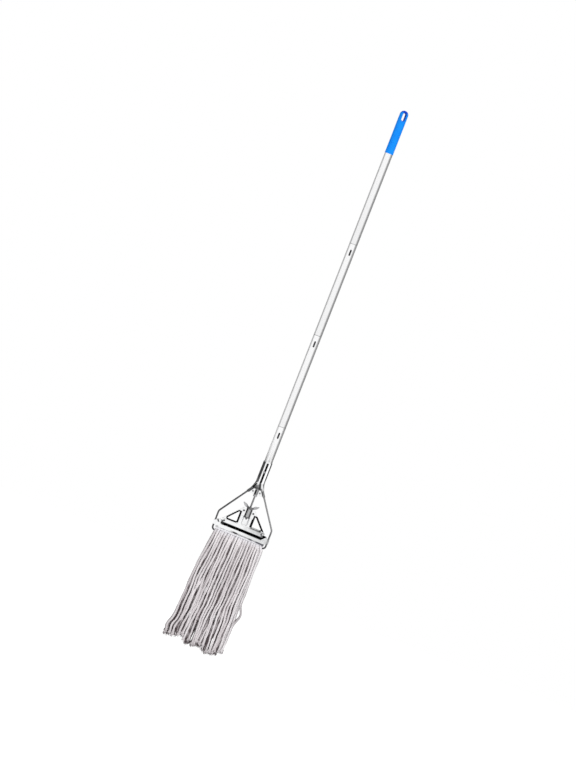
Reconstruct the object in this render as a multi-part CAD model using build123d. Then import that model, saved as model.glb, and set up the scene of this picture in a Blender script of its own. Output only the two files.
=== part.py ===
"""Cotton string mop: a screw clamp and a yarn refill on a four-section aluminium pole.

Millimetres. The origin is the middle of the grip's hang slot and Z is the pole's axis, so the mop
hangs down along -Z. X runs across the clamp, and -Y is the front.
"""

import math
import os

from build123d import *

# Pole tubes
POLE_DIAMETER = 25.0
POLE_WALL = 1.2
UPPER_TUBE_LENGTH = 280.5
MIDDLE_TUBE_LENGTH = 282.5
LOWER_TUBE_LENGTH = 171.0

# Hand grip
GRIP_DIAMETER = 25.4
GRIP_LENGTH = 133.0
GRIP_WALL = 3.2
SPIGOT_LENGTH = 36.0
HANG_SLOT_LENGTH = 24.0
HANG_SLOT_WIDTH = 9.5
HANG_SLOT_TO_TOP = 7.0
DISH_DEPTH = 4.5
DISH_FLARE = 2.2
SLOT_TURN = 12.0
SOLID_BELOW_SLOT = 8.0
GROOVE_COUNT = 14
GROOVE_PITCH = 5.0
GROOVE_DEPTH = 0.4
GROOVE_RADIUS = 1.0
GROOVES_TO_GRIP_END = 13.0

# Plugs that join the tubes, with the lock buttons
PUSH_FIT = 0.05
PLUG_WALL = 3.2
PLUG_UP = 34.0
PLUG_DOWN = 52.0
COLLAR_THICKNESS = 1.0
COLLAR_STEP = 0.3
BUTTON_BELOW_COLLAR = 26.0
BUTTON_LENGTH = 18.0
BUTTON_WIDTH = 4.4
BUTTON_PROUD = 0.4
BUTTON_PLAY = 0.3
BUTTON_BASE_MARGIN = 1.3
BUTTON_BASE_THICKNESS = 1.5
BUTTON_NOTCH_WIDTH = 1.6
BUTTON_NOTCH_DEPTH = 1.2
SPRING_THICKNESS = 0.6
SPRING_WIDTH = 5.0
SPRING_DROP = 14.0
SPRING_BEND = 2.0
SPRING_TOUCH = 0.05
PLUG_RIVET_ABOVE_COLLAR = 15.0
PLUG_RIVET_SHANK = 3.2
HOLE_CLEARANCE = 0.05

# Socket and yoke of the clamp
SOCKET_DEPTH = 63.5
SOCKET_WALL = 1.25
SOCKET_FIT = 0.1
BELL_HEIGHT = 24.0
BELL_WIDTH = 43.0
BELL_THICKNESS = 9.8
BELL_STEPS = 8
BELL_FLARE_POWER = 1.4
LEG_DIAMETER = 7.6
LEG_DROP = 36.5
LEG_MOUTH = 4.0
WIRE_TOP_DROP = 16.0
BOSS_TOP_DIAMETER = 12.4
BOSS_END_DIAMETER = 9.6
BOSS_DROP = 38.5
WEB_THICKNESS = 2.4
WEB_DROP = 37.0
ARCH_RADIUS = 4.3
ARCH_SPACING = 19.0
NUT_CAVITY_DEPTH = 8.0
SCREW_BELOW_SOCKET_TOP = 31.5
SCREW_SHANK = 3.6
SCREW_LENGTH = 8.0
SCREW_HEAD = 6.4
SCREW_HEAD_HEIGHT = 1.8
SCREW_CROSS_LENGTH = 3.6
SCREW_CROSS_WIDTH = 0.9
SCREW_CROSS_DEPTH = 1.0
YOKE_RIVET_SPACING = 21.0
YOKE_RIVET_DROP = 30.0

# Wire bail
WIRE_DIAMETER = 5.0
WIRE_FIT = 0.05
BAIL_WIDTH = 164.0
BAIL_SLOPE = 34.4
BAIL_SHOULDER_DROP = 118.5
BAIL_SHOULDER_RADIUS = 14.0
BAR_DROP = 175.5
BAR_CORNER_RADIUS = 9.0

# Clamp screw
ROD_DIAMETER = 6.0
ROD_LENGTH = 112.5
ROD_ABOVE_NUT = 1.0
ROD_CHAMFER = 0.8
HEX_ACROSS_FLATS = 10.0
HEX_HEIGHT = 5.0
THREAD_CLEARANCE = 0.06

# Wing nut in its sleeve
BARREL_DIAMETER = 14.5
BARREL_PLAY = 0.1
BARREL_BELOW_RING = 1.6
HUB_DIAMETER = 17.4
HUB_HEIGHT = 6.0
HUB_CHAMFER = 1.2
WING_SPAN = 49.0
WING_RISE = 8.5
WING_ROOT_RADIUS = 2.8
WING_LEAF_RADIUS = 4.4
WING_TIP_RADIUS = 1.5
WING_THICKNESS = 3.0
WASHER_THICKNESS = 1.0
RING_THICKNESS = 1.2
RING_GROOVE_DEPTH = 0.9
RING_OVERLAP = 1.5
RING_GAP_ANGLE = 50.0
AXIAL_PLAY = 0.15

# Movable jaw
JAW_SHEET = 1.6
JAW_TRAVEL = 15.0
JAW_ABOVE_BAR = 12.3
JAW_DEPTH = 26.0
JAW_END_RADIUS = 5.0
GUIDE_PLAY = 0.1
FLANGE_HEIGHT = 10.4
SHOULDER_HEIGHT = 6.9
LIP_HEIGHT = 12.4
LIP_WIDTH = 132.0
RECESS_WIDTH = 126.0
RECESS_CORNER = 4.0
RECESS_END_SLOPE = 1.0
EAR_STEP = 3.7
EAR_SIDE_HEIGHT = 11.0
EAR_TOP_HEIGHT = 23.7
EAR_TOP_INSET = 14.0
EAR_STEP_INSET = 6.5
PLATE_HEIGHT = 62.4
PLATE_TOP_WIDTH = 39.0
PLATE_TOP_SIDE = 7.0
PLATE_EDGE = 3.2
WINDOW_INNER_SPACING = 43.0
WINDOW_OUTER_SPACING = 115.0
WINDOW_ABOVE_LIP = 2.2
WINDOW_BELOW_TOP = 8.5
WINDOW_CORNER = 3.5
BEAD_DIAMETER = 4.4
STRAP_HEIGHT = 24.0
STRAP_WIDTH = 37.0
STRAP_RIVET_SPACING = 28.8
STRAP_RIVET_BELOW_TOP = 8.5
POCKET_WIDTH = 19.6
POCKET_CORNER = 3.0
TIP_CLEARANCE = 1.5
RIVET_SHANK = 3.0
RIVET_HEAD = 5.8
RIVET_HEAD_HEIGHT = 1.7

# Yarn refill
BAND_WIDTH = 150.0
BAND_TAPE = 1.2
BAND_HEM_DROP = 6.3
SOFT_GAP = 0.4
FOLD_DROP = 3.0
FRINGE_LENGTH = 338.0
FRINGE_UNEVEN = 7.0
UNEVEN_PHASE_STEPS = (3.7, 2.1, 0.9)
FRINGE_FLARE = 0.2
FRINGE_FLARE_POWER = 0.6
FRINGE_SWEEP = 14.0
FRINGE_SWEEP_POWER = 0.9
STRANDS_PER_LAYER = 24
STRAND_WIDTH = 5.2
STRAND_WAVE = 1.7
STRAND_WAVE_LENGTH = 150.0
STRAND_PHASE_STEP = 0.3
LAYER_PHASE_STEP = 1.3
LAYER_PITCH_AT_BAR = 2.4
LAYER_PITCH_BELOW = 6.4
LAYER_COUNT = 3
SPREAD_DROP = 26.0
STRAND_SPANS = 6

# Levels and radii that follow from the sizes above
pole_radius = POLE_DIAMETER / 2
pole_bore = pole_radius - POLE_WALL
plug_radius = pole_bore - PUSH_FIT
plug_bore = plug_radius - PLUG_WALL
wire_radius = WIRE_DIAMETER / 2
rod_radius = ROD_DIAMETER / 2

grip_top = HANG_SLOT_TO_TOP + HANG_SLOT_LENGTH / 2
grip_end = grip_top - GRIP_LENGTH

tube_levels = []
level = grip_end
for tube_length in (UPPER_TUBE_LENGTH, MIDDLE_TUBE_LENGTH, MIDDLE_TUBE_LENGTH, LOWER_TUBE_LENGTH):
    tube_levels.append((level, level - tube_length))
    level -= tube_length + COLLAR_THICKNESS

socket_floor = tube_levels[-1][1]
socket_top = socket_floor + SOCKET_DEPTH
socket_bore = pole_radius + SOCKET_FIT
socket_radius = socket_bore + SOCKET_WALL
boss_end = socket_floor - BOSS_DROP
cavity_floor = socket_floor - NUT_CAVITY_DEPTH
rod_top = cavity_floor + HEX_HEIGHT + ROD_ABOVE_NUT
rod_end = rod_top - ROD_LENGTH

bar_level = socket_floor - BAR_DROP
shoulder_level = socket_floor - BAIL_SHOULDER_DROP
slope = math.tan(math.radians(BAIL_SLOPE))

flange_end = bar_level + JAW_ABOVE_BAR
flange_top = flange_end + FLANGE_HEIGHT
lip_root = flange_top + SHOULDER_HEIGHT
lip_top = lip_root + LIP_HEIGHT
plate_top = lip_root + PLATE_HEIGHT
lip_front = JAW_SHEET * 1.5
jaw_half_depth = JAW_DEPTH / 2
jaw_half_width = BAIL_WIDTH / 2 + wire_radius + GUIDE_PLAY + JAW_SHEET
shoulder_slope = SHOULDER_HEIGHT / (jaw_half_depth - lip_front)
roof_drop = JAW_SHEET * math.hypot(1, shoulder_slope)
trough_half_depth = jaw_half_depth - JAW_SHEET

barrel_radius = BARREL_DIAMETER / 2
sleeve_bore = barrel_radius + BARREL_PLAY
sleeve_radius = sleeve_bore + JAW_SHEET
sleeve_end = plate_top - STRAP_HEIGHT
pocket_end = rod_end - JAW_TRAVEL - TIP_CLEARANCE
washer_level = plate_top + AXIAL_PLAY
hub_level = washer_level + WASHER_THICKNESS
ring_level = sleeve_end - AXIAL_PLAY
barrel_end = ring_level - RING_THICKNESS - BARREL_BELOW_RING


def wire_x(z):
    """Half distance between the bail's sloping runs at a level."""
    return BAIL_WIDTH / 2 - (z - shoulder_level) * slope


def roof(y):
    """Level of the trough's sloping roof at a distance from the middle plane."""
    return flange_top - roof_drop + (jaw_half_depth - abs(y)) * shoulder_slope


def upright(radius, low, high, x=0.0, y=0.0):
    """Solid cylinder along Z between two levels."""
    return Pos(x, y, (low + high) / 2) * Cylinder(radius, high - low)


def across(radius, near, far, x, z):
    """Solid cylinder along Y between two depths."""
    return Pos(x, (near + far) / 2, z) * Rot(90, 0, 0) * Cylinder(radius, far - near)


def dome(radius, height):
    """Spherical cap that stands on the XY plane."""
    ball = (radius**2 + height**2) / (2 * height)
    return Pos(0, 0, height - ball) * Sphere(ball) & Pos(0, 0, height / 2) * Box(
        2 * radius, 2 * radius, height
    )


def rivet(x, z, front, back, shank=RIVET_SHANK, head=RIVET_HEAD, height=RIVET_HEAD_HEIGHT):
    """Rivet along Y with a domed head on the front face and on the back face."""
    body = across(shank / 2, front, back, x, z)
    front_head = Pos(x, front, z) * Rot(90, 0, 0) * dome(head / 2, height)
    back_head = Pos(x, back, z) * Rot(-90, 0, 0) * dome(head / 2, height)
    return body + front_head + back_head


def hex_nut(low):
    """Plain hexagon nut on the rod."""
    outline = RegularPolygon(HEX_ACROSS_FLATS / 2, 6, major_radius=False)
    return Pos(0, 0, low) * extrude(outline - Circle(rod_radius + THREAD_CLEARANCE), HEX_HEIGHT)


def hand_grip():
    """Round-ended grip with ring grooves, a hollow spigot and a dished slot, turned a little on the pole."""
    radius = GRIP_DIAMETER / 2
    bore = pole_bore - PUSH_FIT - GRIP_WALL
    spigot_end = grip_end - SPIGOT_LENGTH
    grip = upright(radius, grip_end, grip_top - radius) + Pos(0, 0, grip_top - radius) * Sphere(radius)
    grip += upright(pole_bore - PUSH_FIT, spigot_end, grip_end)
    grip -= upright(bore, spigot_end, -HANG_SLOT_LENGTH / 2 - SOLID_BELOW_SLOT)
    for index in range(GROOVE_COUNT):
        groove_level = grip_end + GROOVES_TO_GRIP_END + index * GROOVE_PITCH
        grip -= Pos(0, 0, groove_level) * Torus(radius + GROOVE_RADIUS - GROOVE_DEPTH, GROOVE_RADIUS)
    slot = SlotOverall(HANG_SLOT_LENGTH, HANG_SLOT_WIDTH, rotation=90)
    wide_slot = SlotOverall(
        HANG_SLOT_LENGTH + 2 * DISH_FLARE, HANG_SLOT_WIDTH + 2 * DISH_FLARE, rotation=90
    )
    turn = Rot(0, 0, SLOT_TURN)
    grip -= turn * extrude(Plane.XZ * slot, radius, both=True)
    dish = loft([Plane.XZ.offset(radius - DISH_DEPTH) * slot, Plane.XZ.offset(radius) * wide_slot])
    return grip - turn * dish - turn * mirror(dish, about=Plane.XZ)


def button_level(joint):
    """Level of the middle of a joint's lock button."""
    return tube_levels[joint][0] - BUTTON_BELOW_COLLAR


def button_outline(joint, margin):
    """Upright obround on the front, as long and wide as the button and a margin all round."""
    return Pos(0, button_level(joint)) * SlotOverall(
        BUTTON_LENGTH + 2 * margin, BUTTON_WIDTH + 2 * margin, rotation=90
    )


def plug_rivet_level(joint):
    """Level of the rivet that holds a joint's plug in the tube above it."""
    return tube_levels[joint - 1][1] + PLUG_RIVET_ABOVE_COLLAR


def plug_rivet_hole(joint):
    """Drilling for the rivet through the back of the tube and the plug."""
    return across(PLUG_RIVET_SHANK / 2 + HOLE_CLEARANCE, 0, pole_radius, 0, plug_rivet_level(joint))


def socket_screw_hole():
    """Drillings for the two socket screws, front and back."""
    level = socket_top - SCREW_BELOW_SOCKET_TOP
    return across(SCREW_SHANK / 2 + HOLE_CLEARANCE, -socket_radius, socket_radius, 0, level)


def pole_tube(index):
    """One tube: a window for the button near its top, a rivet hole near its lower end."""
    top, end = tube_levels[index]
    tube = upright(pole_radius, end, top) - upright(pole_bore, end, top)
    if index > 0:
        tube -= extrude(Plane.XZ * button_outline(index, BUTTON_PLAY), pole_radius)
    if index + 1 < len(tube_levels):
        return tube - plug_rivet_hole(index + 1)
    return tube - socket_screw_hole()


def joint_plug(joint):
    """Plug with a thin collar between the tubes and a guide window for the button."""
    collar_low = tube_levels[joint][0]
    collar_high = tube_levels[joint - 1][1]
    plug = upright(plug_radius, collar_low - PLUG_DOWN, collar_high + PLUG_UP)
    plug += upright(pole_radius - COLLAR_STEP, collar_low, collar_high)
    plug -= upright(plug_bore, collar_low - PLUG_DOWN, collar_high + PLUG_UP)
    plug -= extrude(Plane.XZ * button_outline(joint, BUTTON_PLAY), plug_radius)
    return plug - plug_rivet_hole(joint)


def button_base_front():
    """Depth of the button base's outer face, just inside the plug's bore."""
    half_width = BUTTON_WIDTH / 2 + BUTTON_BASE_MARGIN
    return math.sqrt(plug_bore**2 - half_width**2) - BUTTON_PLAY


def snap_button(joint):
    """Obround lock button with a cross notch and a wider base inside the plug."""
    base_front = button_base_front()
    face = pole_radius + BUTTON_PROUD
    level = button_level(joint)
    stem = extrude(Plane.XZ.offset(base_front) * button_outline(joint, 0), face - base_front)
    stem &= upright(face, level - BUTTON_LENGTH, level + BUTTON_LENGTH)
    stem -= Pos(0, -face, level) * Box(POLE_DIAMETER, 2 * BUTTON_NOTCH_DEPTH, BUTTON_NOTCH_WIDTH)
    base_plane = Plane.XZ.offset(base_front - BUTTON_BASE_THICKNESS)
    return stem + extrude(base_plane * button_outline(joint, BUTTON_BASE_MARGIN), BUTTON_BASE_THICKNESS)


def button_spring(joint):
    """Hairpin leaf spring between the button's base and the back of the plug's bore."""
    inset = SPRING_TOUCH + SPRING_THICKNESS / 2
    front = -(button_base_front() - BUTTON_BASE_THICKNESS) + inset
    back = math.sqrt(plug_bore**2 - (SPRING_WIDTH / 2) ** 2) - inset
    high = button_level(joint) + BUTTON_LENGTH / 2
    low = button_level(joint) - BUTTON_LENGTH / 2
    corners = [(front, high), (front, low), ((front + back) / 2, low - SPRING_DROP), (back, high)]
    strip = trace(FilletPolyline(*corners, radius=SPRING_BEND), SPRING_THICKNESS)
    return extrude(Plane.YZ * strip, SPRING_WIDTH / 2, both=True)


def plug_rivets():
    """One flush rivet at each joint, through the back of the tube and the plug's wall."""
    rivets = []
    for joint in range(1, len(tube_levels)):
        level = plug_rivet_level(joint)
        shank = across(PLUG_RIVET_SHANK / 2, plug_bore, pole_radius, 0, level)
        rivets.append(shank & upright(pole_radius, level - PLUG_RIVET_SHANK, level + PLUG_RIVET_SHANK))
    return Compound(rivets)


def bell():
    """Socket's lower end, pressed from round to a flat oval that is wide enough for the legs."""
    sections = []
    for step in range(BELL_STEPS):
        share = step / (BELL_STEPS - 1)
        press = share * share * (3 - 2 * share)
        half_width = socket_radius + (BELL_WIDTH / 2 - socket_radius) * share**BELL_FLARE_POWER
        half_thickness = socket_radius + (BELL_THICKNESS / 2 - socket_radius) * press
        oval = Ellipse(half_width, half_thickness)
        sections.append(Pos(0, 0, socket_floor - BELL_HEIGHT * share) * oval)
    return loft(sections)


def along_leg(radius, low, side):
    """Cylinder on one sloping run of the bail, from a level up to the wire's end."""
    high = socket_floor - WIRE_TOP_DROP
    length = (high - low) / math.cos(math.radians(BAIL_SLOPE))
    middle = (low + high) / 2
    return Pos(side * wire_x(middle), 0, middle) * Rot(0, -side * BAIL_SLOPE, 0) * Cylinder(radius, length)


def socket_yoke():
    """Socket tube, pressed bell, two wire legs, screw boss and the thin web between them."""
    bell_end = socket_floor - BELL_HEIGHT
    leg_end = socket_floor - LEG_DROP
    web_end = socket_floor - WEB_DROP
    web = Polyline(
        (-wire_x(bell_end), bell_end),
        (wire_x(bell_end), bell_end),
        (wire_x(web_end), web_end),
        (-wire_x(web_end), web_end),
        close=True,
    )
    pressed = bell()
    for side in (-1, 1):
        arch = Pos(side * ARCH_SPACING / 2, 0, bell_end) * Rot(90, 0, 0)
        hollow = arch * Cylinder(ARCH_RADIUS, 2 * socket_radius) - Box(
            2 * BELL_WIDTH, WEB_THICKNESS, -4 * bell_end
        )
        pressed -= hollow
    yoke = upright(socket_radius, socket_floor, socket_top) + pressed
    yoke += extrude(Plane.XZ * make_face(web), WEB_THICKNESS / 2, both=True)
    boss_height = cavity_floor - boss_end
    yoke += Pos(0, 0, (cavity_floor + boss_end) / 2) * Cone(
        BOSS_END_DIAMETER / 2, BOSS_TOP_DIAMETER / 2, boss_height
    )
    for side in (-1, 1):
        yoke += along_leg(LEG_DIAMETER / 2, leg_end, side)
    for side in (-1, 1):
        yoke -= along_leg(wire_radius + WIRE_FIT, leg_end - LEG_MOUTH, side)
        yoke -= across(
            RIVET_SHANK / 2 + HOLE_CLEARANCE,
            -BELL_THICKNESS,
            BELL_THICKNESS,
            side * YOKE_RIVET_SPACING / 2,
            socket_floor - YOKE_RIVET_DROP,
        )
    yoke -= upright(socket_bore, socket_floor, socket_top)
    yoke -= upright(HEX_ACROSS_FLATS / math.sqrt(3) + SOCKET_WALL, cavity_floor, socket_floor)
    yoke -= upright(rod_radius + THREAD_CLEARANCE, boss_end, cavity_floor)
    return yoke - socket_screw_hole()


def socket_screws():
    """Two pan-head screws with cross recesses, through the socket into the pole."""
    level = socket_top - SCREW_BELOW_SOCKET_TOP
    head = dome(SCREW_HEAD / 2, SCREW_HEAD_HEIGHT)
    head -= Pos(0, 0, SCREW_HEAD_HEIGHT) * Box(SCREW_CROSS_LENGTH, SCREW_CROSS_WIDTH, SCREW_CROSS_DEPTH)
    head -= Pos(0, 0, SCREW_HEAD_HEIGHT) * Box(SCREW_CROSS_WIDTH, SCREW_CROSS_LENGTH, SCREW_CROSS_DEPTH)
    shank = Pos(0, 0, -SCREW_LENGTH / 2) * Cylinder(SCREW_SHANK / 2, SCREW_LENGTH)
    screw = Pos(0, -socket_radius, level) * Rot(90, 0, 0) * (head + shank)
    return Compound([screw, mirror(screw, about=Plane.XZ)])


def yoke_rivets():
    """Two rivets through the yoke's web."""
    level = socket_floor - YOKE_RIVET_DROP
    half = WEB_THICKNESS / 2
    return Compound([rivet(side * YOKE_RIVET_SPACING / 2, level, -half, half) for side in (-1, 1)])


def wire_bail():
    """One bent wire: down from each leg, round the shoulders, and across as the yarn's bar."""
    wire_top = socket_floor - WIRE_TOP_DROP
    half = BAIL_WIDTH / 2
    corners = [
        (-wire_x(wire_top), 0, wire_top),
        (-half, 0, shoulder_level),
        (-half, 0, bar_level),
        (half, 0, bar_level),
        (half, 0, shoulder_level),
        (wire_x(wire_top), 0, wire_top),
    ]
    radii = [BAIL_SHOULDER_RADIUS, BAR_CORNER_RADIUS, BAR_CORNER_RADIUS, BAIL_SHOULDER_RADIUS]
    path = FilletPolyline(*corners, radius=radii)
    start = Plane(origin=path @ 0, z_dir=path % 0)
    return sweep(start * Circle(wire_radius), path=path)


def threaded_rod():
    """Fixed clamp screw with a chamfered tip."""
    rod = upright(rod_radius, rod_end, rod_top)
    return chamfer(rod.edges().filter_by(GeomType.CIRCLE), ROD_CHAMFER)


def wing_nut():
    """Wing nut: two leaf wings and a hub on a long threaded barrel with a ring groove."""
    hub_top = hub_level + HUB_HEIGHT
    hub = upright(HUB_DIAMETER / 2, hub_level, hub_top)
    nut = chamfer(hub.edges().group_by(Axis.Z)[-1], HUB_CHAMFER)
    nut += upright(barrel_radius, barrel_end, hub_level)
    groove = upright(barrel_radius, ring_level - RING_THICKNESS, ring_level)
    nut -= groove - upright(barrel_radius - RING_GROOVE_DEPTH, ring_level - RING_THICKNESS, ring_level)
    root = Pos(HUB_DIAMETER / 2 - WING_ROOT_RADIUS / 2, hub_top - WING_ROOT_RADIUS)
    tip = Pos(WING_SPAN / 2 - WING_TIP_RADIUS, hub_top + WING_RISE - WING_TIP_RADIUS)
    middle = Pos((root.position + tip.position) / 2)
    leaf = Sketch() + [
        root * Circle(WING_ROOT_RADIUS),
        middle * Circle(WING_LEAF_RADIUS),
        tip * Circle(WING_TIP_RADIUS),
    ]
    wing = extrude(Plane.XZ * make_hull(leaf.edges()), WING_THICKNESS / 2, both=True)
    nut += wing
    nut += mirror(wing, about=Plane.YZ)
    return nut - upright(rod_radius + THREAD_CLEARANCE, barrel_end, hub_top)


def thrust_washer():
    """Washer between the wing nut's hub and the top of the sleeve."""
    ring = upright(sleeve_radius, washer_level, hub_level)
    return ring - upright(barrel_radius + BARREL_PLAY, washer_level, hub_level)


def retaining_ring():
    """Open spring ring in the barrel's groove, under the sleeve."""
    low = ring_level - RING_THICKNESS
    ring = upright(barrel_radius + RING_OVERLAP, low, ring_level)
    ring -= upright(barrel_radius - RING_GROOVE_DEPTH + HOLE_CLEARANCE, low, ring_level)
    reach = 2 * BARREL_DIAMETER
    half_gap = reach * math.tan(math.radians(RING_GAP_ANGLE / 2))
    gap = make_face(Polyline((0, 0), (half_gap, -reach), (-half_gap, -reach), close=True))
    return ring - Pos(0, 0, low) * extrude(gap, RING_THICKNESS)


def half_sleeve(radius, bore, low, high, side):
    """Half of a tube along Z, on the front (-1) or back (1) of the middle plane."""
    tube = upright(radius, low, high) - upright(bore, low, high)
    keep = Pos(0, side * radius, (low + high) / 2) * Box(2 * radius, 2 * radius, high - low)
    return tube & keep


def strap_rivet_holes():
    """Drillings for the strap's two rivets."""
    level = plate_top - STRAP_RIVET_BELOW_TOP
    bore = RIVET_SHANK / 2 + HOLE_CLEARANCE
    return [
        across(bore, -JAW_DEPTH, JAW_DEPTH, side * STRAP_RIVET_SPACING / 2, level) for side in (-1, 1)
    ]


def jaw_rivet_level():
    """Level of the two rivets through the jaw's lips."""
    return (lip_root + lip_top) / 2


def jaw_rivet_holes():
    """Drillings for the two rivets at the ends of the jaw's lips."""
    bore = RIVET_SHANK / 2 + HOLE_CLEARANCE
    x = WINDOW_OUTER_SPACING / 2
    return [across(bore, -JAW_DEPTH, JAW_DEPTH, side * x, jaw_rivet_level()) for side in (-1, 1)]


def nut_strap():
    """Front half of the barrel's sleeve, with a riveted tab on each side."""
    middle = (plate_top + sleeve_end) / 2
    strap = Pos(0, -JAW_SHEET, middle) * Box(STRAP_WIDTH, JAW_SHEET, STRAP_HEIGHT)
    strap += half_sleeve(sleeve_radius, sleeve_bore, sleeve_end, plate_top, -1)
    plate_room = Pos(0, 0, middle) * Box(STRAP_WIDTH, JAW_SHEET, STRAP_HEIGHT)
    strap -= plate_room
    strap -= upright(sleeve_bore, sleeve_end, plate_top)
    return strap - strap_rivet_holes()


def window_path(side):
    """Rounded right triangle that a window's bead follows, on the front or back view's plane."""
    inner = side * WINDOW_INNER_SPACING / 2
    outer = side * WINDOW_OUTER_SPACING / 2
    low = lip_top + WINDOW_ABOVE_LIP
    high = plate_top - WINDOW_BELOW_TOP
    return FilletPolyline((inner, low), (outer, low), (inner, high), radius=WINDOW_CORNER, close=True)


def pocket_block(wall, low, high):
    """Flat-backed pocket behind the plate for the nut's end and the screw's tip, with a wall all round."""
    width = POCKET_WIDTH + 2 * wall
    plan = RectangleRounded(width, width, POCKET_CORNER + wall)
    block = Pos(0, 0, low) * extrude(plan, high - low)
    return block & Pos(0, width / 2 - JAW_SHEET / 2, (low + high) / 2) * Box(width, width, high - low)


def jaw_plate():
    """Flat plate with two beaded windows, the back of the sleeve and a pocket for the screw's tip."""
    half_top = PLATE_TOP_WIDTH / 2
    half_low = LIP_WIDTH / 2
    low = roof(JAW_SHEET / 2)
    rise = (plate_top - WINDOW_BELOW_TOP) - (lip_top + WINDOW_ABOVE_LIP)
    run = (WINDOW_OUTER_SPACING - WINDOW_INNER_SPACING) / 2
    edge = PLATE_EDGE * math.hypot(rise, run) / rise
    side_top = plate_top - PLATE_TOP_SIDE

    def slant(z):
        """Half width of the plate on its sloping edge."""
        return WINDOW_INNER_SPACING / 2 + (plate_top - WINDOW_BELOW_TOP - z) * run / rise + edge

    slant_end = plate_top - WINDOW_BELOW_TOP - (half_low - WINDOW_INNER_SPACING / 2 - edge) * rise / run
    right = [(half_low, low), (half_low, slant_end), (slant(side_top), side_top), (half_top, plate_top)]
    left = [(-x, z) for x, z in reversed(right)]
    sheet = extrude(Plane.XZ * make_face(Polyline(*right, *left, close=True)), JAW_SHEET / 2, both=True)
    for side in (-1, 1):
        path = Plane.XZ * window_path(side)
        sheet -= extrude(make_face(path), JAW_SHEET / 2, both=True)
        start = Plane(origin=path @ 0, z_dir=path % 0)
        sheet += sweep(start * Circle(BEAD_DIAMETER / 2), path=path)
    sheet += half_sleeve(sleeve_radius, sleeve_bore, sleeve_end, plate_top, 1)
    sheet += pocket_block(JAW_SHEET, pocket_end, sleeve_end + JAW_SHEET)
    sheet -= upright(sleeve_bore, sleeve_end, plate_top)
    sheet -= pocket_block(0, pocket_end, sleeve_end)
    return sheet - strap_rivet_holes() - jaw_rivet_holes()


def recess_outline(depth):
    """Front recess of the jaw at a depth from the middle plane: slanted ends, and walls that slope in."""
    inset = (jaw_half_depth - depth) * shoulder_slope
    half = RECESS_WIDTH / 2 - inset
    low = flange_top + inset
    high = lip_top
    half_high = half + (high - low) / RECESS_END_SLOPE
    corners = [(-half, low), (half, low), (half_high, high), (-half_high, high)]
    return make_face(FilletPolyline(*corners, radius=[RECESS_CORNER, RECESS_CORNER, 0, 0], close=True))


def front_jaw():
    """Front half of the jaw: flange over the yarn, sloping shoulder, riveted lip and wire guides."""
    half = jaw_half_width
    step_level = flange_end + EAR_STEP
    step_x = half - EAR_STEP_INSET
    ear_side = step_level + EAR_SIDE_HEIGHT
    ear_top = flange_end + EAR_TOP_HEIGHT
    plan = RectangleRounded(2 * half, JAW_DEPTH, JAW_END_RADIUS)
    block = Pos(0, 0, flange_end) * extrude(plan, EAR_TOP_HEIGHT)
    right = [
        (step_x - EAR_STEP, flange_end),
        (step_x, step_level),
        (half, step_level),
        (half, ear_side),
        (half - EAR_TOP_INSET, ear_top),
    ]
    left = [(-x, z) for x, z in reversed(right)]
    front_view = extrude(Plane.XZ * make_face(Polyline(*right, *left, close=True)), JAW_DEPTH)
    jaw = block & front_view
    proud = jaw_half_depth + JAW_SHEET
    jaw -= loft(
        [
            Plane.XZ.offset(lip_front) * recess_outline(lip_front),
            Plane.XZ.offset(proud) * recess_outline(proud),
        ],
        ruled=True,
    )
    jaw += Pos(0, -JAW_SHEET, (lip_root + lip_top) / 2) * Box(LIP_WIDTH, JAW_SHEET, LIP_HEIGHT)
    trough = Polyline(
        (-trough_half_depth, flange_end),
        (-trough_half_depth, roof(trough_half_depth)),
        (0, roof(0)),
        (0, flange_end),
        close=True,
    )
    jaw -= extrude(Plane.YZ * make_face(trough), BAND_WIDTH / 2 + SOFT_GAP, both=True)
    for side in (-1, 1):
        jaw -= upright(wire_radius + GUIDE_PLAY, flange_end, ear_top, x=side * BAIL_WIDTH / 2)
    height = lip_top - flange_end
    jaw -= Pos(0, 0, flange_end + height / 2) * Box(2 * half, JAW_SHEET, height)
    return jaw - jaw_rivet_holes()


def strap_rivets():
    """Two rivets through the strap's tabs and the plate."""
    level = plate_top - STRAP_RIVET_BELOW_TOP
    x = STRAP_RIVET_SPACING / 2
    return Compound([rivet(side * x, level, -lip_front, JAW_SHEET / 2) for side in (-1, 1)])


def jaw_rivets():
    """Two rivets through the front lip, the plate and the rear lip."""
    x = WINDOW_OUTER_SPACING / 2
    return Compound([rivet(side * x, jaw_rivet_level(), -lip_front, lip_front) for side in (-1, 1)])


def tent(half, hem, inset):
    """Closed outline under the jaw's roof: two upright sides, a sloping top on each, and a flat hem."""
    ridge = JAW_SHEET / 2
    side_top = roof(half) - inset
    top = roof(ridge) - inset
    return make_face(
        Polyline(
            (-half, hem),
            (-half, side_top),
            (-ridge, top),
            (ridge, top),
            (half, side_top),
            (half, hem),
            close=True,
        )
    )


def headband():
    """Tape folded over the bar, with its two hems hanging below the jaw's flanges."""
    half = trough_half_depth - SOFT_GAP
    hem = flange_end - BAND_HEM_DROP
    tape = tent(half, hem, SOFT_GAP) - tent(half - BAND_TAPE, hem, SOFT_GAP + BAND_TAPE)
    return extrude(Plane.YZ * tape, BAND_WIDTH / 2, both=True)


def strand_levels(length):
    """Levels of a strand's sections: inside the fold, below the bar, where it has spread, and on down."""
    fold_end = bar_level - FOLD_DROP
    spread = fold_end - SPREAD_DROP
    end = bar_level - length
    run = [spread + (end - spread) * step / STRAND_SPANS for step in range(STRAND_SPANS + 1)]
    return [bar_level + FOLD_DROP, fold_end] + run


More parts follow.
